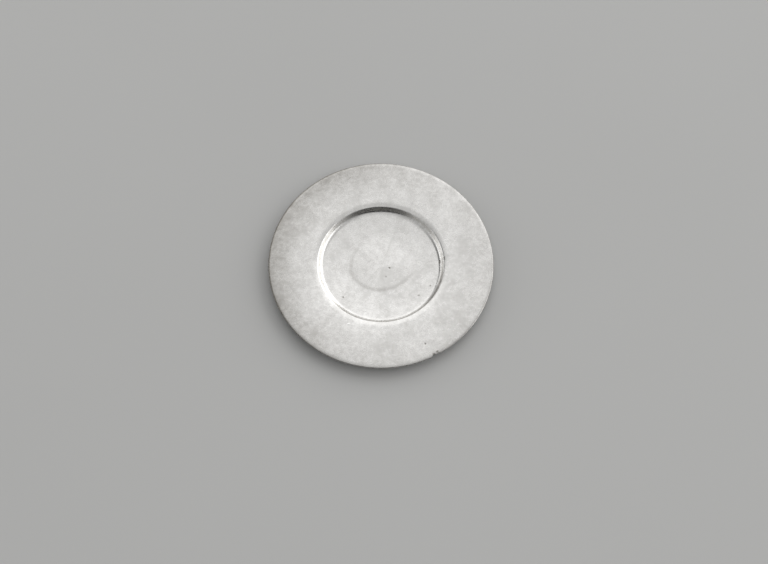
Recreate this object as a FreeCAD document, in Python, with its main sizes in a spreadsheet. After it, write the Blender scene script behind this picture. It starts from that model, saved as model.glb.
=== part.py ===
import FreeCAD, Part
import math
import os

import Sketcher

# A paten: the shallow plate that holds the bread at communion, raised from one disc of
# silver sheet. The whole object is that one piece of metal. Millimetres and degrees.
# Z is the plate's axis, and the origin is the middle of the flat face that it rests on.

PLATE_NODE = "paten_plate"

# A bend's size is the radius on its inside. Its outside is one sheet thickness larger.
SIZES = (
    ("plate_diameter", 150.0, "across the rim"),
    ("sheet_thickness", 0.9, "of the floor, wall and rim"),
    ("rim_height", 5.1, "underside of the rim, at the roll, above the resting face"),
    ("dish_diameter", 50.4, "circle where the floor turns up"),
    ("dish_angle", 3.0, "rise of the outer floor"),
    ("dish_bend", 427.0, "of the floor into its dish"),
    ("foot_diameter", 81.8, "circle where the floor meets the wall"),
    ("foot_bend", 3.4, "of the floor into the wall"),
    ("wall_angle", 66.0, "of the well's wall from the level"),
    ("shoulder_bend", 0.7, "of the wall into the rim"),
    ("roll_diameter", 89.2, "circle where the rim's roll ends"),
    ("roll_angle", 10.2, "rise of the rim just outside the shoulder"),
    ("roll_bend", 17.0, "of the rim's roll"),
    ("rim_angle", 2.4, "rise of the rim"),
    ("edge_width", 1.8, "of the thickened edge"),
    ("edge_thickness", 1.3, "of the thickened edge"),
    ("flank_angle", 30.0, "of the thickening's flank from the level"),
    ("flank_bend", 0.8, "at both ends of the flank"),
    ("edge_bend", 0.5, "of the edge, above and below"),
)

# The runs of the half section in the order they are drawn: out along the underside, up
# the edge, back along the top, and down the axis.
RUNS = (
    "floor", "dish", "wall", "roll", "rim", "flank", "lip", "edge",
    "top_rim", "top_roll", "top_wall", "top_dish", "top_floor", "axis",
)
RUN = {name: index for index, name in enumerate(RUNS)}
START, END = 1, 2
ORIGIN = (-1, 1)


def make_sizes(doc):
    """The spreadsheet of driving dimensions: on each row a name and a value."""
    sheet = doc.addObject("Spreadsheet::Sheet", "Sizes")
    for row, (alias, value, meaning) in enumerate(SIZES, start=1):
        sheet.set(f"A{row}", f"{alias}: {meaning}")
        sheet.set(f"B{row}", str(value))
        sheet.setAlias(f"B{row}", alias)
    doc.recompute()
    return sheet


def origin_plane(body, role):
    """One of the body's own origin planes, by its role."""
    for feature in body.Origin.OriginFeatures:
        if feature.Role == role:
            return feature
    raise ValueError(f"{body.Label} has no {role}")


def slope(angle):
    """The rise of a run for each millimetre along, from its angle to the level."""
    return math.tan(math.radians(angle))


def underside_corners(sizes):
    """The section's corners underneath, still sharp, from the axis out to the edge."""
    dish = sizes.dish_diameter / 2
    foot = sizes.foot_diameter / 2
    roll = sizes.roll_diameter / 2
    edge = sizes.plate_diameter / 2

    foot_height = (foot - dish) * slope(sizes.dish_angle)
    roll_rise = (roll - foot) * slope(sizes.roll_angle)
    wall_run = (sizes.rim_height - foot_height - roll_rise) / (
        slope(sizes.wall_angle) - slope(sizes.roll_angle)
    )
    thickening = sizes.edge_thickness - sizes.sheet_thickness
    flank = edge - sizes.edge_width
    lip = flank + thickening / slope(sizes.flank_angle)

    def on_rim(radius):
        return sizes.rim_height + (radius - roll) * slope(sizes.rim_angle)

    return [
        (0, 0),
        (dish, 0),
        (foot, foot_height),
        (foot + wall_run, foot_height + wall_run * slope(sizes.wall_angle)),
        (roll, sizes.rim_height),
        (flank, on_rim(flank)),
        (lip, on_rim(lip) - thickening),
        (edge, on_rim(edge) - thickening),
    ]


def topside_corners(sizes, underside):
    """The corners above, from the edge in to the axis, before the rules settle them."""
    edge_radius, edge_height = underside[-1]
    sheet_only = underside[: RUN["flank"]]
    above = [(radius, height + sizes.sheet_thickness) for radius, height in sheet_only]
    return [(edge_radius, edge_height + sizes.edge_thickness)] + above[::-1]


class Section:
    """The half section: straight runs between corners, tied to the spreadsheet."""

    def __init__(self, body, sizes):
        self.sizes = sizes
        self.sketch = body.newObject("Sketcher::SketchObject", "PlateSection")
        self.sketch.AttachmentSupport = [(origin_plane(body, "XZ_Plane"), "")]
        self.sketch.MapMode = "FlatFace"

        underside = underside_corners(sizes)
        corners = underside + topside_corners(sizes, underside)
        self.points = [FreeCAD.Vector(radius, height, 0) for radius, height in corners]
        for start, end in zip(self.points, self.points[1:] + self.points[:1]):
            self.sketch.addGeometry(Part.LineSegment(start, end))
        for index in range(len(RUNS)):
            self.rule("Coincident", index, END, (index + 1) % len(RUNS), START)

    def rule(self, *terms):
        """A constraint without a size."""
        return self.sketch.addConstraint(Sketcher.Constraint(*terms))

    def measure(self, name, expression, *terms):
        """A constraint whose size follows the spreadsheet."""
        index = self.rule(*terms)
        self.sketch.renameConstraint(index, name)
        self.sketch.setExpression(f"Constraints.{name}", expression)

    def reach(self, run, expression):
        """How far from the axis a run ends."""
        radius = self.points[RUN[run] + 1].x
        self.measure(f"{run}_reach", expression, "DistanceX", *ORIGIN, RUN[run], END, radius)

    def rise(self, run):
        """The angle at which a run climbs."""
        angle = math.radians(getattr(self.sizes, f"{run}_angle"))
        self.measure(f"{run}_rise", f"Sizes.{run}_angle * 1deg", "Angle", RUN[run], angle)

    def apart(self, run, opposite, size):
        """The metal's thickness between the start of one run and the run opposite."""
        thickness = getattr(self.sizes, size)
        self.measure(
            f"{run}_{size}", f"Sizes.{size}", "Distance", RUN[run], START, RUN[opposite], thickness
        )

    def inside_bend(self, run, size):
        """Round the corner where a run ends, on the inside of a bend."""
        self.bend(run, getattr(self.sizes, size), f"Sizes.{size}")

    def outside_bend(self, run, size):
        """Round the corner where a run ends, on the outside of a bend."""
        radius = getattr(self.sizes, size) + self.sizes.sheet_thickness
        self.bend(run, radius, f"Sizes.{size} + Sizes.sheet_thickness")

    def bend(self, run, radius, expression):
        arc = self.sketch.GeometryCount
        trim, keep_corner = True, True
        self.sketch.fillet(RUN[run], END, radius, trim, keep_corner)
        self.measure(f"{run}_bend", expression, "Radius", arc, radius)


def make_section(body, sizes):
    """The half section of the plate, fully constrained and then rounded."""
    section = Section(body, sizes)

    section.rule("Coincident", RUN["floor"], START, *ORIGIN)
    section.rule("Horizontal", RUN["floor"])
    section.rule("Vertical", RUN["edge"])
    section.rule("Vertical", RUN["axis"])
    section.rule("Parallel", RUN["lip"], RUN["rim"])

    section.reach("floor", "Sizes.dish_diameter / 2")
    section.reach("dish", "Sizes.foot_diameter / 2")
    section.reach("roll", "Sizes.roll_diameter / 2")
    section.reach("rim", "Sizes.plate_diameter / 2 - Sizes.edge_width")
    section.reach("lip", "Sizes.plate_diameter / 2")
    section.measure(
        "rim_height", "Sizes.rim_height", "DistanceY", *ORIGIN, RUN["roll"], END, sizes.rim_height
    )
    for run in ("dish", "wall", "roll", "rim"):
        section.rise(run)
    flank_fall = math.radians(sizes.flank_angle)
    section.measure("flank_fall", "-Sizes.flank_angle * 1deg", "Angle", RUN["flank"], -flank_fall)

    for run in ("floor", "dish", "wall", "roll", "rim"):
        section.rule("Parallel", RUN[f"top_{run}"], RUN[run])
        section.apart(f"top_{run}", run, "sheet_thickness")
    section.apart("lip", "top_rim", "edge_thickness")
    body.Document.recompute()

    section.outside_bend("floor", "dish_bend")
    section.outside_bend("dish", "foot_bend")
    section.inside_bend("wall", "shoulder_bend")
    section.inside_bend("roll", "roll_bend")
    section.inside_bend("rim", "flank_bend")
    section.inside_bend("flank", "flank_bend")
    section.inside_bend("lip", "edge_bend")
    section.inside_bend("edge", "edge_bend")
    section.outside_bend("top_rim", "roll_bend")
    section.outside_bend("top_roll", "shoulder_bend")
    section.inside_bend("top_wall", "foot_bend")
    section.inside_bend("top_dish", "dish_bend")
    return section.sketch


def make_plate(doc, sizes):
    """The plate: its half section turned once round the axis."""
    body = doc.addObject("PartDesign::Body", "PatenPlate")
    body.Label = PLATE_NODE
    section = make_section(body, sizes)
    plate = body.newObject("PartDesign::Revolution", "PlateTurn")
    plate.Profile = section
    plate.ReferenceAxis = (section, ["V_Axis"])
    plate.Angle = 360
    section.Visibility = False
    return body


def check(doc, bodies):
    """Stop if any object of the document failed, or a body isn't one sound solid."""
    for item in doc.Objects:
        if "Invalid" in item.State or "Error" in item.State:
            raise RuntimeError(f"{item.Label} failed: {item.State}")
    for sketch in doc.findObjects("Sketcher::SketchObject"):
        if not sketch.FullyConstrained:
            raise RuntimeError(f"{sketch.Label} isn't fully constrained")
    for body in bodies:
        if body.Shape.isNull() or not body.Shape.isValid() or len(body.Shape.Solids) != 1:
            raise RuntimeError(f"{body.Label} isn't one sound solid")


def main():
    doc = FreeCAD.newDocument("Paten")
    sizes = make_sizes(doc)
    bodies = [make_plate(doc, sizes)]
    doc.recompute()
    check(doc, bodies)

    os.makedirs("parts", exist_ok=True)
    for body in bodies:
        body.Shape.exportStep(f"parts/{body.Label}.step")
        print(f"{body.Label}: {body.Shape.Volume:.1f} mm3, {len(body.Shape.Faces)} faces")


main()
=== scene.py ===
import math

import bpy
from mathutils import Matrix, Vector


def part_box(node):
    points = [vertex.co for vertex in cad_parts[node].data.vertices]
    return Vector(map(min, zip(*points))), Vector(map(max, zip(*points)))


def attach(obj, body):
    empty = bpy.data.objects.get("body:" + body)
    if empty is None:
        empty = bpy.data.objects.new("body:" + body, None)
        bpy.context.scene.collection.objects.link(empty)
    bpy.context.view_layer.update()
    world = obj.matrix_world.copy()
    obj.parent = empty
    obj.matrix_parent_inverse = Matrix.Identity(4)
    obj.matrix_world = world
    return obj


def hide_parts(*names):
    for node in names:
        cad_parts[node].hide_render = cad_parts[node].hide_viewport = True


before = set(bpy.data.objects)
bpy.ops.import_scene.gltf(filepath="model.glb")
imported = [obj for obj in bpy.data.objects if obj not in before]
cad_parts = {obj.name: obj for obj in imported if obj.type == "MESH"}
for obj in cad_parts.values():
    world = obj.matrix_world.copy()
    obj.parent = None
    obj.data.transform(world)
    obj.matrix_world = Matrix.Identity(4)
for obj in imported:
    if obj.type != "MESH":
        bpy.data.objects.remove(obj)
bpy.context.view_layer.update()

# A plain paten: one disc of silver raised into a shallow plate, with a sunken well and a
# wide rim that rises a little, worn satin and lightly tarnished. Metres. Z is the plate's
# axis, and the plate rests on the underside of its floor at Z = 0.

MM = 0.001
NODE = "paten_plate"
low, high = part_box(NODE)
PLATE_RADIUS = (high[0] - low[0]) / 2
RIM_TOP = high[2]
SHEET = 0.9 * MM
EDGE_THICKNESS = 1.3 * MM
SAME_POINT = 0.005 * MM
TURNS = 480


# ------------------------------------------------------------------ working by hand

def work_on(piece):
    """Leave edit mode, deselect everything, and make one piece the active one."""
    if bpy.context.object and bpy.context.object.mode != "OBJECT":
        bpy.ops.object.mode_set(mode="OBJECT")
    bpy.ops.object.select_all(action="DESELECT")
    if piece:
        piece.select_set(True)
        bpy.context.view_layer.objects.active = piece


def edit(piece):
    work_on(piece)
    bpy.ops.object.mode_set(mode="EDIT")
    bpy.ops.mesh.select_mode(type="VERT")


def leave_edit():
    bpy.ops.object.mode_set(mode="OBJECT")


def select_points(piece, wanted):
    """Select a piece's vertices by their place, and go back to edit mode."""
    edit(piece)
    bpy.ops.mesh.select_all(action="DESELECT")
    leave_edit()
    for vertex in piece.data.vertices:
        vertex.select = wanted(vertex.co)
    bpy.ops.object.mode_set(mode="EDIT")


# ------------------------------------------------------------------ the plate's section

class Chaser:
    """Follows the sheet's underside from the axis outwards, by straight runs and bends."""

    def __init__(self):
        self.radius = self.height = self.angle = 0.0
        self.path = [(self.radius, self.height, self.angle)]

    def mark(self):
        self.path.append((self.radius, self.height, self.angle))

    def run_to(self, radius, parts):
        step = (radius - self.radius) / parts
        for _ in range(parts):
            self.radius += step
            self.height += step * math.tan(self.angle)
            self.mark()

    def bend(self, radius, degrees, parts):
        """An arc that turns upwards for positive degrees and downwards for negative."""
        side = math.copysign(radius, degrees)
        for _ in range(parts):
            before = self.angle
            self.angle += math.radians(degrees) / parts
            self.radius += side * (math.sin(self.angle) - math.sin(before))
            self.height -= side * (math.cos(self.angle) - math.cos(before))
            self.mark()


# Where the underside's straight runs end, from the axis out.
FLOOR_FLAT = 14.0 * MM
DISH_END = 38.27 * MM
WALL_END = 42.50 * MM
ROLL_START = 43.46 * MM
EDGE_START = PLATE_RADIUS - 1.8 * MM

# Its bends between them: the radius, and how many degrees they turn upwards.
DISH_BEND = 427.9 * MM, 3.0
FOOT_BEND = 4.3 * MM, 63.0
SHOULDER_BEND = 0.7 * MM, -55.8
ROLL_BEND = 17.0 * MM, -7.8


def sheet_path(fineness):
    """The underside's line, from the axis to where the edge thickens."""
    def parts(count):
        return max(1, round(count * fineness))

    line = Chaser()
    line.run_to(FLOOR_FLAT, parts(11))
    line.bend(*DISH_BEND, parts(17))
    line.run_to(DISH_END, parts(2))
    line.bend(*FOOT_BEND, parts(14))
    line.run_to(WALL_END, parts(2))
    line.bend(*SHOULDER_BEND, parts(10))
    line.run_to(ROLL_START, 1)
    line.bend(*ROLL_BEND, parts(6))
    line.run_to(EDGE_START, parts(26))
    return line.path


def raised(path, thickness):
    """The same line on the other side of the metal."""
    return [
        (radius - thickness * math.sin(angle), height + thickness * math.cos(angle))
        for radius, height, angle in path
    ]


# Where the edge thickens, its underside runs out and falls a little before it rounds up.
FLANK_RUN = 0.5 * MM
FLANK_FALL = 0.18 * MM
EDGE_STEPS = 14


def edge_outline(underside_end, topside_end):
    """The thickened, rounded edge between the underside and the top."""
    radius, height = underside_end
    _, top = topside_end
    centre = PLATE_RADIUS - EDGE_THICKNESS / 2, top - EDGE_THICKNESS / 2
    outline = [(radius + FLANK_RUN, height - FLANK_FALL)]
    for step in range(EDGE_STEPS + 1):
        turn = math.radians(-90 + 180 * step / EDGE_STEPS)
        outline.append((
            centre[0] + EDGE_THICKNESS / 2 * math.cos(turn),
            centre[1] + EDGE_THICKNESS / 2 * math.sin(turn),
        ))
    return outline


# The underside is seen less, so it is drawn with fewer points.
UNDERSIDE_FINENESS = 0.6
TOP_FINENESS = 1.0


def plate_outline():
    """The whole half section, out along the underside and back along the top."""
    under = [(radius, height) for radius, height, _ in sheet_path(UNDERSIDE_FINENESS)]
    over = raised(sheet_path(TOP_FINENESS), SHEET)
    return under + edge_outline(under[-1], over[-1]) + over[::-1]


def turn_plate():
    """Draw the half section point by point, then spin it round the axis."""
    work_on(None)
    bpy.ops.mesh.primitive_plane_add(size=MM)
    plate = bpy.context.object
    plate.name = plate.data.name = "silver_plate"
    edit(plate)
    bpy.ops.mesh.select_all(action="SELECT")
    bpy.ops.mesh.merge(type="CENTER")
    outline = [Vector((radius, 0, height)) for radius, height in plate_outline()]
    for here, there in zip(outline, outline[1:]):
        bpy.ops.mesh.extrude_vertices_move(TRANSFORM_OT_translate={"value": there - here})
    bpy.ops.mesh.select_all(action="SELECT")
    bpy.ops.mesh.spin(steps=TURNS, angle=math.tau, center=(0, 0, 0), axis=(0, 0, 1))
    bpy.ops.mesh.select_all(action="SELECT")
    bpy.ops.mesh.remove_doubles(threshold=SAME_POINT)
    bpy.ops.mesh.normals_make_consistent(inside=False)
    leave_edit()
    return plate


# ------------------------------------------------------------------ hand work and wear

def at_angle(radius, degrees):
    """A place on the plate, counted anticlockwise from +X as seen from above."""
    turn = math.radians(degrees)
    return Vector((radius * math.cos(turn), radius * math.sin(turn), 0))


# How much of its size the plate keeps along X and Y, and how far the oval is then turned.
OVAL_SHARES = 0.999, 0.994, 1
OVAL_TURN = math.radians(30)


def knock_out_of_round(plate):
    """Hand work leaves the rim a few tenths of a millimetre oval."""
    edit(plate)
    bpy.ops.mesh.select_all(action="SELECT")
    bpy.ops.transform.resize(value=OVAL_SHARES, center_override=(0, 0, 0))
    bpy.ops.transform.rotate(value=OVAL_TURN, orient_axis="Z", center_override=(0, 0, 0))
    leave_edit()


# The unevenness of the hammer work: a name, how wide its waves are, their depth from crest
# to trough at the most, and how many finer waves they carry.
HAMMER_WORK = (
    ("warp", 60 * MM, 0.35 * MM, 0),
    ("planishing", 8 * MM, 0.04 * MM, 1),
)


def hammer(plate, name, size, depth, detail):
    """Leave the soft unevenness of hammer work, with marks of one size."""
    marks = bpy.data.textures.new(name, "CLOUDS")
    marks.noise_scale = size
    marks.noise_depth = detail
    work_on(plate)
    modifier = plate.modifiers.new(name, "DISPLACE")
    modifier.texture = marks
    modifier.texture_coords = "LOCAL"
    modifier.direction = "Z"
    modifier.mid_level = 0.5
    modifier.strength = depth
    bpy.ops.object.modifier_apply(modifier=name)


def push(plate, place, push_by, reach):
    """Push the metal at the vertex nearest a place, and let what is around it follow."""
    nearest = min(plate.data.vertices, key=lambda vertex: (vertex.co - place).length)
    target = nearest.co.copy()
    select_points(plate, lambda co: (co - target).length < 0.001 * MM)
    bpy.ops.transform.translate(
        value=push_by,
        use_proportional_edit=True,
        proportional_edit_falloff="SMOOTH",
        proportional_size=reach,
    )
    leave_edit()


def settle(plate):
    """Let the plate down again on the lowest points of its floor."""
    lowest = min(vertex.co.z for vertex in plate.data.vertices)
    edit(plate)
    bpy.ops.mesh.select_all(action="SELECT")
    bpy.ops.transform.translate(value=(0, 0, -lowest))
    leave_edit()


def refine(plate, place, reach, cuts):
    """Cut the top's faces around a place finer, so that a small mark has a clean shape."""
    def on_this_side(co):
        return co.z > place.z - SHEET / 2 and (co - place).length < reach

    select_points(plate, on_this_side)
    bpy.ops.mesh.subdivide(number_cuts=cuts, smoothness=0, ngon=False)
    leave_edit()


def top_height(radius):
    """The height of the sheet's top at a radius, before the hammer work."""
    over = raised(sheet_path(TOP_FINENESS), SHEET)
    for (inner, inner_height), (outer, outer_height) in zip(over, over[1:]):
        if inner <= radius <= outer:
            share = (radius - inner) / (outer - inner)
            return inner_height + share * (outer_height - inner_height)
    return over[-1][1]


def on_top(radius, degrees):
    place = at_angle(radius, degrees)
    place.z = top_height(radius)
    return place


# Where the plate is pitted or dented: radius, angle, and how far its dirt reaches.
FLOOR_PIT = (5.9 * MM, -15, 0.55 * MM)
RIM_PIT = (64.6 * MM, -63.9, 0.6 * MM)
FOOT_DENT = (39.4 * MM, 4.4, 0.75 * MM)
FOOT_DENT_END = (39.4 * MM, 2.6, 0.75 * MM)
FAINT_SPOTS = (
    (8.5 * MM, -66, 0.5 * MM),
    (33.0 * MM, -41, 0.6 * MM),
    (36.0 * MM, -24, 0.5 * MM),
    (33.9 * MM, -138, 0.6 * MM),
    (39.6 * MM, -6, 0.5 * MM),
    (42.5 * MM, 5.4, 0.7 * MM),
    (42.5 * MM, 3.8, 0.7 * MM),
    (73.0 * MM, -60.3, 1.0 * MM),
    (73.4 * MM, -62.3, 0.9 * MM),
)
SMUDGES = (
    (15.0 * MM, -165, 7.0 * MM),
    (33.0 * MM, 2, 5.0 * MM),
    (72.0 * MM, 32, 6.0 * MM),
)

# A raised point beside the well: radius and angle.
RIM_PIMPLE = (48.7 * MM, -116)

# The pushes that nick the edge: the angle, and how far in.
EDGE_NICK = ((-57.8, 0.3 * MM), (-59.6, 0.7 * MM), (-61.4, 1.0 * MM), (-63.0, 1.3 * MM))
NICK_RADIUS = PLATE_RADIUS * 0.995
NICK_HEIGHT = RIM_TOP - 0.8 * MM
NICK_DROP = 0.15 * MM
NICK_REACH = 1.7 * MM

# Each mark: how far round it the faces are cut finer, into how many cuts, how the metal is
# pushed, and how much of it follows.
PIT_MARK = 1.8 * MM, 2, (0, 0, -0.12 * MM), 0.9 * MM
PIMPLE_MARK = 1.6 * MM, 2, (0, 0, 0.12 * MM), 0.8 * MM
DENT_MARK = 2.0 * MM, 1, (0.08 * MM, 0, -0.06 * MM), 1.8 * MM


def mark(plate, place, finer_within, cuts, push_by, reach):
    refine(plate, place, finer_within, cuts)
    push(plate, place, push_by, reach)


def mark_plate(plate):
    """The knocks and pits of long use."""
    for radius, degrees, _ in (FLOOR_PIT, RIM_PIT):
        mark(plate, on_top(radius, degrees), *PIT_MARK)
    mark(plate, on_top(*RIM_PIMPLE), *PIMPLE_MARK)
    mark(plate, on_top(*FOOT_DENT[:2]), *DENT_MARK)

    for degrees, depth in EDGE_NICK:
        place = at_angle(NICK_RADIUS, degrees)
        place.z = NICK_HEIGHT
        inward = -at_angle(depth, degrees)
        inward.z = -NICK_DROP
        push(plate, place, inward, NICK_REACH)


plate = turn_plate()
knock_out_of_round(plate)
for work in HAMMER_WORK:
    hammer(plate, *work)
settle(plate)
mark_plate(plate)
work_on(plate)
bpy.ops.object.shade_smooth()


# ------------------------------------------------------------------ silver

class Recipe:
    """A material's nodes, added one by one and joined as they are used."""

    def __init__(self, name):
        self.material = bpy.data.materials.new(name)
        self.material.use_nodes = True
        self.nodes = self.material.node_tree.nodes
        self.links = self.material.node_tree.links
        self.nodes.clear()
        self.place = self.add("ShaderNodeTexCoord").outputs["Object"]

    def add(self, kind, settings=None):
        node = self.nodes.new(kind)
        for name, value in (settings or {}).items():
            setattr(node, name, value)
        return node

    def feed(self, socket, value):
        if isinstance(value, bpy.types.NodeSocket):
            self.links.new(value, socket)
        else:
            socket.default_value = value

    def math(self, operation, first, second=0.0, clamp=False):
        node = self.add("ShaderNodeMath", {"operation": operation, "use_clamp": clamp})
        self.feed(node.inputs[0], first)
        self.feed(node.inputs[1], second)
        return node.outputs[0]

    def vector_math(self, operation, first, second, output="Value"):
        node = self.add("ShaderNodeVectorMath", {"operation": operation})
        self.feed(node.inputs[0], first)
        self.feed(node.inputs[1], second)
        return node.outputs[output]

    def total(self, *shares):
        """The sum of some layers, each with its weight."""
        result = None
        for layer, weight in shares:
            part = self.math("MULTIPLY", layer, weight)
            result = part if result is None else self.math("ADD", result, part)
        return result

    def ramp(self, value, start, end, low=0.0, high=1.0):
        node = self.add("ShaderNodeMapRange", {"interpolation_type": "SMOOTHSTEP"})
        self.feed(node.inputs["Value"], value)
        self.feed(node.inputs["From Min"], start)
        self.feed(node.inputs["From Max"], end)
        self.feed(node.inputs["To Min"], low)
        self.feed(node.inputs["To Max"], high)
        return node.outputs["Result"]

    def drawn_out(self, degrees, length, shift=0.0):
        """The place in a frame where patterns run long in one direction."""
        node = self.add("ShaderNodeMapping", {"vector_type": "TEXTURE"})
        self.feed(node.inputs["Vector"], self.place)
        node.inputs["Rotation"].default_value = (0, 0, math.radians(degrees))
        node.inputs["Scale"].default_value = (length, 1, 1)
        node.inputs["Location"].default_value = (shift, -shift, 0)
        return node.outputs["Vector"]

    def cloud(self, across, detail=2.0, roughness=0.5, vector=None):
        """Soft noise whose patches are about as wide as stated, in metres."""
        node = self.add("ShaderNodeTexNoise")
        self.feed(node.inputs["Vector"], vector or self.place)
        node.inputs["Scale"].default_value = 1 / across
        node.inputs["Detail"].default_value = detail
        node.inputs["Roughness"].default_value = roughness
        return node.outputs["Fac"]

    def blend(self, share, first, second):
        node = self.add("ShaderNodeMix", {"data_type": "RGBA"})
        self.feed(node.inputs[0], share)
        self.feed(node.inputs[6], first)
        self.feed(node.inputs[7], second)
        return node.outputs[2]

    def finish(self, shader):
        output = self.nodes.new("ShaderNodeOutputMaterial")
        self.links.new(shader.outputs[0], output.inputs["Surface"])
        return self.material


def flat_distance(recipe, centre=(0, 0, 0)):
    """How far a point is from a place, measured level."""
    level = recipe.vector_math("MULTIPLY", recipe.place, (1, 1, 0), "Vector")
    return recipe.vector_math("DISTANCE", level, centre)


# Scratches lie where a drawn-out noise crosses its middle value, and a second one breaks them.
SCRATCH_STRETCH = 24
SCRATCH_SPACING = 3.5 * MM
SCRATCH_BREAKS = 9 * MM
SCRATCH_WIDTH = 0.012
SCRATCH_DIRECTIONS = (14, 47, 83, 118, 161)


def hairlines(recipe, degrees, shift):
    """Fine broken scratches, all roughly in one direction."""
    drawn = recipe.drawn_out(degrees, SCRATCH_STRETCH, shift)
    waves = recipe.cloud(SCRATCH_SPACING, 0.0, 0.5, drawn)
    off_line = recipe.math("ABSOLUTE", recipe.math("SUBTRACT", waves, 0.5))
    line = recipe.ramp(off_line, 0.0, SCRATCH_WIDTH, 1, 0)
    broken = recipe.ramp(recipe.cloud(SCRATCH_BREAKS, 2.0, 0.6, drawn), 0.48, 0.62)
    return recipe.math("MULTIPLY", line, broken)


def all_hairlines(recipe):
    """Scratches every way, from wiping and stacking."""
    lines = None
    for count, degrees in enumerate(SCRATCH_DIRECTIONS):
        these = hairlines(recipe, degrees, 0.1 + 0.37 * count)
        lines = these if lines is None else recipe.math("MAXIMUM", lines, these)
    return lines


def spots_at(recipe, places, ragged):
    """Soft spots at stated places, whose outlines wander by about a stated distance."""
    wander = recipe.math("SUBTRACT", recipe.cloud(1.8 * ragged, 2.0, 0.6), 0.5)
    wander = recipe.math("MULTIPLY", wander, 4 * ragged)
    spots = None
    for radius, degrees, reach in places:
        away = recipe.math("ADD", flat_distance(recipe, at_angle(radius, degrees)), wander)
        spot = recipe.ramp(away, reach * 0.4, reach * 1.3, 1, 0)
        spots = spot if spots is None else recipe.math("MAXIMUM", spots, spot)
    return spots


SPECK_SPACING = 3.2 * MM


def specks(recipe):
    """Small scattered spots of tarnish."""
    cells = recipe.add("ShaderNodeTexVoronoi")
    recipe.feed(cells.inputs["Vector"], recipe.place)
    cells.inputs["Scale"].default_value = 1 / SPECK_SPACING
    spot = recipe.ramp(cells.outputs["Distance"], 0.05, 0.16, 1, 0)
    chosen = recipe.add("ShaderNodeSeparateColor")
    recipe.feed(chosen.inputs["Color"], cells.outputs["Color"])
    few = recipe.ramp(chosen.outputs["Red"], 0.86, 1.0)
    return recipe.math("MULTIPLY", spot, few)


def towards(recipe, side, start, full):
    """How far over to one side of the plate a point is, on a ramp between two shares."""
    share = recipe.vector_math("DOT_PRODUCT", recipe.place, side)
    return recipe.ramp(share, start, full)


# The waver is added to the distance from the middle, so the ring shows at about 20 mm.
RING_MIDDLE = (0, 0.5 * MM, 0)
RING_RADIUS = 24.5 * MM
RING_WAVER = 9 * MM
RING_WAVES = 34 * MM
RING_CORE, RING_SPREAD = 0.2 * MM, 2.2 * MM
RING_CLEARER_SIDE = Vector((-0.35, -0.94, 0)) / (20 * MM)


def ring_mark(recipe):
    """The faint uneven ring that something round has left on the floor of the well."""
    waver = recipe.math("MULTIPLY", recipe.cloud(RING_WAVES, 0.0, 0.5), RING_WAVER)
    radius = recipe.math("ADD", flat_distance(recipe, RING_MIDDLE), waver)
    off_ring = recipe.math("ABSOLUTE", recipe.math("SUBTRACT", radius, RING_RADIUS))
    ring = recipe.ramp(off_ring, RING_CORE, RING_SPREAD, 1, 0)
    return recipe.math("MULTIPLY", ring, towards(recipe, RING_CLEARER_SIDE, -0.9, 0.9))


# Painted shade at the foot of the well's wall: the radii between which it comes in, and between
# which it goes again.
FOOT_SHADE_COMES = 40.1 * MM, 41.2 * MM
FOOT_SHADE_GOES = 42.4 * MM, 41.6 * MM
FOOT_SHADE_SIDE = Vector((0.3, -0.95, 0)) / (41 * MM)


def painted_foot_shade(recipe, radius):
    """Painted shade: a dark line at the foot of the well's wall, on the near side only, standing
    in for the dark surround that the wall reflects there.
    """
    band = recipe.math(
        "MULTIPLY", recipe.ramp(radius, *FOOT_SHADE_COMES), recipe.ramp(radius, *FOOT_SHADE_GOES)
    )
    return recipe.math("MULTIPLY", band, towards(recipe, FOOT_SHADE_SIDE, 0.2, 0.7))


CLEAN = (0.93, 0.92, 0.90, 1)
# The dark colour that tarnish and the painted shade at the foot both blend towards.
TARNISH_AND_SHADE_COLOUR = (0.26, 0.245, 0.22, 1)
SMOOTHEST = 0.22
MICRON = 0.001 * MM

# The radii between which the rim and its edge grow duller, and the side towards which they are
# darker.
RIM_DULLS = 36 * MM, 84 * MM
EDGE_DULLS = 73.4 * MM, 74.6 * MM
DARKER_RIM_SIDE = Vector((-0.9, 0.35, 0)) / PLATE_RADIUS

# How wide the surface's patterns are, from the broadest to the finest.
PATCH_WIDTH = 34 * MM
BLOTCH_WIDTH = 9 * MM
MOTTLE_WIDTH = 2.6 * MM
GRAIN_WIDTH = 0.6 * MM


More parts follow.
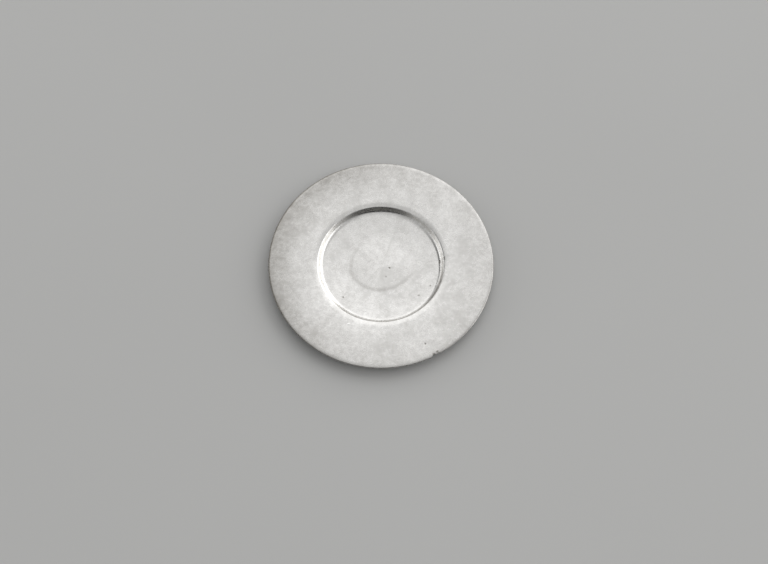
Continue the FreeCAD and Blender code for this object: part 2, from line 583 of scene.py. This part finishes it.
def worn_silver():
    """Silver wiped bright in the middle, tarnished outwards and darker towards one side, with
    painted shade at the foot of the well's wall.
    """
    recipe = Recipe("worn_silver")
    radius = flat_distance(recipe)
    # Painted shade at the foot of the well's wall, on the near side.
    foot_shade = painted_foot_shade(recipe, radius)
    on_edge = recipe.ramp(radius, *EDGE_DULLS)
    # Darker towards the left and a little to the back, on the rim and its edge.
    darker_side = towards(recipe, DARKER_RIM_SIDE, -0.4, 0.75)
    outwards = recipe.math("POWER", recipe.ramp(radius, *RIM_DULLS), 1.3)

    patches = recipe.ramp(recipe.cloud(PATCH_WIDTH, 5.0, 0.6), 0.36, 0.68)
    blotches = recipe.ramp(recipe.cloud(BLOTCH_WIDTH, 3.0, 0.6), 0.34, 0.66)
    mottle = recipe.cloud(MOTTLE_WIDTH, 4.0, 0.65)
    clear_mottle = recipe.ramp(mottle, 0.3, 0.7)
    grain = recipe.cloud(GRAIN_WIDTH, 3.0, 0.6)
    lines = all_hairlines(recipe)
    stains = spots_at(recipe, (FLOOR_PIT, RIM_PIT, FOOT_DENT, FOOT_DENT_END), 0.4 * MM)
    faint = spots_at(recipe, FAINT_SPOTS, 0.5 * MM)
    smudges = spots_at(recipe, SMUDGES, 5.0 * MM)
    rubbed = spots_at(recipe, [(*RIM_PIMPLE, 0.8 * MM)], 0.3 * MM)
    spots = specks(recipe)
    ring = ring_mark(recipe)

    # Tarnish, with the painted shade at the foot of the well's wall mixed in.
    tarnish = recipe.total(
        (patches, 0.09),
        (blotches, 0.10),
        (clear_mottle, 0.15),
        (outwards, 0.17),
        (recipe.math("MULTIPLY", outwards, darker_side), 0.40),
        (recipe.math("MULTIPLY", on_edge, darker_side), 0.20),
        (on_edge, 0.25),
        (foot_shade, 0.6),
        (spots, 0.30),
        (ring, 0.22),
        (stains, 0.9),
        (faint, 0.6),
        (smudges, 0.09),
        (rubbed, -0.4),
        (lines, -0.03),
    )
    tarnish = recipe.math("ADD", tarnish, 0.0, clamp=True)
    colour = recipe.blend(tarnish, CLEAN, TARNISH_AND_SHADE_COLOUR)

    roughness = recipe.total((clear_mottle, 0.06), (patches, 0.05), (lines, -0.03))
    roughness = recipe.math("ADD", roughness, SMOOTHEST)

    height_in_microns = recipe.total(
        (mottle, 24.0), (grain, 12.0), (lines, -0.3), (ring, -5.0), (spots, -4.0), (stains, -8.0)
    )
    bump = recipe.add("ShaderNodeBump")
    recipe.feed(bump.inputs["Height"], height_in_microns)
    bump.inputs["Strength"].default_value = 1.0
    bump.inputs["Distance"].default_value = MICRON

    silver = recipe.add("ShaderNodeBsdfPrincipled")
    recipe.feed(silver.inputs["Base Color"], colour)
    recipe.feed(silver.inputs["Roughness"], roughness)
    recipe.feed(silver.inputs["Normal"], bump.outputs["Normal"])
    silver.inputs["Metallic"].default_value = 1.0
    return recipe.finish(silver)


DARKER_FLOOR = (0.56, 0.56, 0.55, 1)
LIGHTER_FLOOR = (0.60, 0.60, 0.59, 1)


def pale_studio_floor():
    recipe = Recipe("pale_floor")
    drift = recipe.cloud(0.4, 3.0, 0.5)
    colour = recipe.blend(drift, DARKER_FLOOR, LIGHTER_FLOOR)
    floor = recipe.add("ShaderNodeBsdfPrincipled")
    recipe.feed(floor.inputs["Base Color"], colour)
    floor.inputs["Roughness"].default_value = 0.9
    return recipe.finish(floor)


plate.data.materials.append(worn_silver())
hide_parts(NODE)
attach(plate, "root")


# ------------------------------------------------------------------ floor, light, camera

FLOOR_SIZE = 12.0


def lay_floor():
    work_on(None)
    bpy.ops.mesh.primitive_plane_add(size=FLOOR_SIZE)
    floor = bpy.context.object
    floor.name = floor.data.name = "studio_floor"
    floor.data.materials.append(pale_studio_floor())


# Each softbox: its name, azimuth from +X to +Y and elevation in degrees, width, height, and
# how bright its face is. They all stand equally far from the plate.
SOFTBOXES = (
    ("back_softbox", 88, 38, 5.6, 4.9, 0.72),
    ("side_softbox", 21, 24, 7.2, 3.8, 1.3),
    ("left_softbox", 163, 16, 4.4, 1.6, 0.9),
)
SOFTBOX_DISTANCE = 4.5


def softbox(name, azimuth, elevation, width, height, radiance):
    """A rectangle of soft light that faces the plate."""
    lamp = bpy.data.lights.new(name, "AREA")
    lamp.shape = "RECTANGLE"
    lamp.size, lamp.size_y = width, height
    lamp.energy = radiance * math.pi * width * height
    box = bpy.data.objects.new(name, lamp)
    bpy.context.scene.collection.objects.link(box)
    azimuth, elevation = math.radians(azimuth), math.radians(elevation)
    level = math.cos(elevation)
    direction = Vector((level * math.cos(azimuth), level * math.sin(azimuth), math.sin(elevation)))
    box.location = direction * SOFTBOX_DISTANCE
    box.rotation_euler = direction.to_track_quat("Z", "Y").to_euler()


# Where the surround differs from its even grey: a direction, how many degrees from it the
# difference starts and is full, and how many times as bright it is there.
SHADE_BEHIND_CAMERA = ((0.03, -1.0, 0.05), 52, 33, 0.036)
GAP_ON_THE_LEFT = ((-0.61, 0.40, 0.68), 25, 12, 0.15)
OVERHEAD = ((0.0, -0.1, 1.0), 30, 12, 1.35)
SURROUND_GREY = 0.56


def studio_surround():
    """An even grey surround with a few brighter and darker stretches."""
    world = bpy.data.worlds.new("studio")
    world.use_nodes = True
    nodes, links = world.node_tree.nodes, world.node_tree.links
    nodes.clear()
    where = nodes.new("ShaderNodeTexCoord")
    strength = None
    for direction, start, full, level in (SHADE_BEHIND_CAMERA, GAP_ON_THE_LEFT, OVERHEAD):
        facing = nodes.new("ShaderNodeVectorMath")
        facing.operation = "DOT_PRODUCT"
        facing.inputs[1].default_value = Vector(direction).normalized()
        links.new(where.outputs["Generated"], facing.inputs[0])
        change = nodes.new("ShaderNodeMapRange")
        change.interpolation_type = "SMOOTHSTEP"
        change.inputs["From Min"].default_value = math.cos(math.radians(start))
        change.inputs["From Max"].default_value = math.cos(math.radians(full))
        change.inputs["To Min"].default_value = 1.0
        change.inputs["To Max"].default_value = level
        links.new(facing.outputs["Value"], change.inputs["Value"])
        product = nodes.new("ShaderNodeMath")
        product.operation = "MULTIPLY"
        links.new(change.outputs["Result"], product.inputs[0])
        if strength:
            links.new(strength, product.inputs[1])
        else:
            product.inputs[1].default_value = SURROUND_GREY
        strength = product.outputs[0]
    background = nodes.new("ShaderNodeBackground")
    output = nodes.new("ShaderNodeOutputWorld")
    links.new(strength, background.inputs["Strength"])
    links.new(background.outputs[0], output.inputs["Surface"])
    bpy.context.scene.world = world


CAMERA_ELEVATION = math.radians(65.73)
CAMERA_DISTANCE = 0.851
AIM_BESIDE_MIDDLE = Vector((2.0 * MM, -14.4 * MM, 0))


def place_camera():
    """Looking down on the plate from the front, well above it."""
    plate_middle = Vector((0, 0, RIM_TOP))
    back = Vector((0, -math.cos(CAMERA_ELEVATION), math.sin(CAMERA_ELEVATION)))
    aim = plate_middle + AIM_BESIDE_MIDDLE
    lens = bpy.data.cameras.new("camera")
    lens.lens = 60
    lens.sensor_width = 36
    camera = bpy.data.objects.new("camera", lens)
    bpy.context.scene.collection.objects.link(camera)
    camera.location = plate_middle + back * CAMERA_DISTANCE
    camera.rotation_euler = (aim - camera.location).to_track_quat("-Z", "Y").to_euler()
    bpy.context.scene.camera = camera


lay_floor()
studio_surround()
for box in SOFTBOXES:
    softbox(*box)
place_camera()
bpy.context.scene.view_settings.view_transform = "Standard"
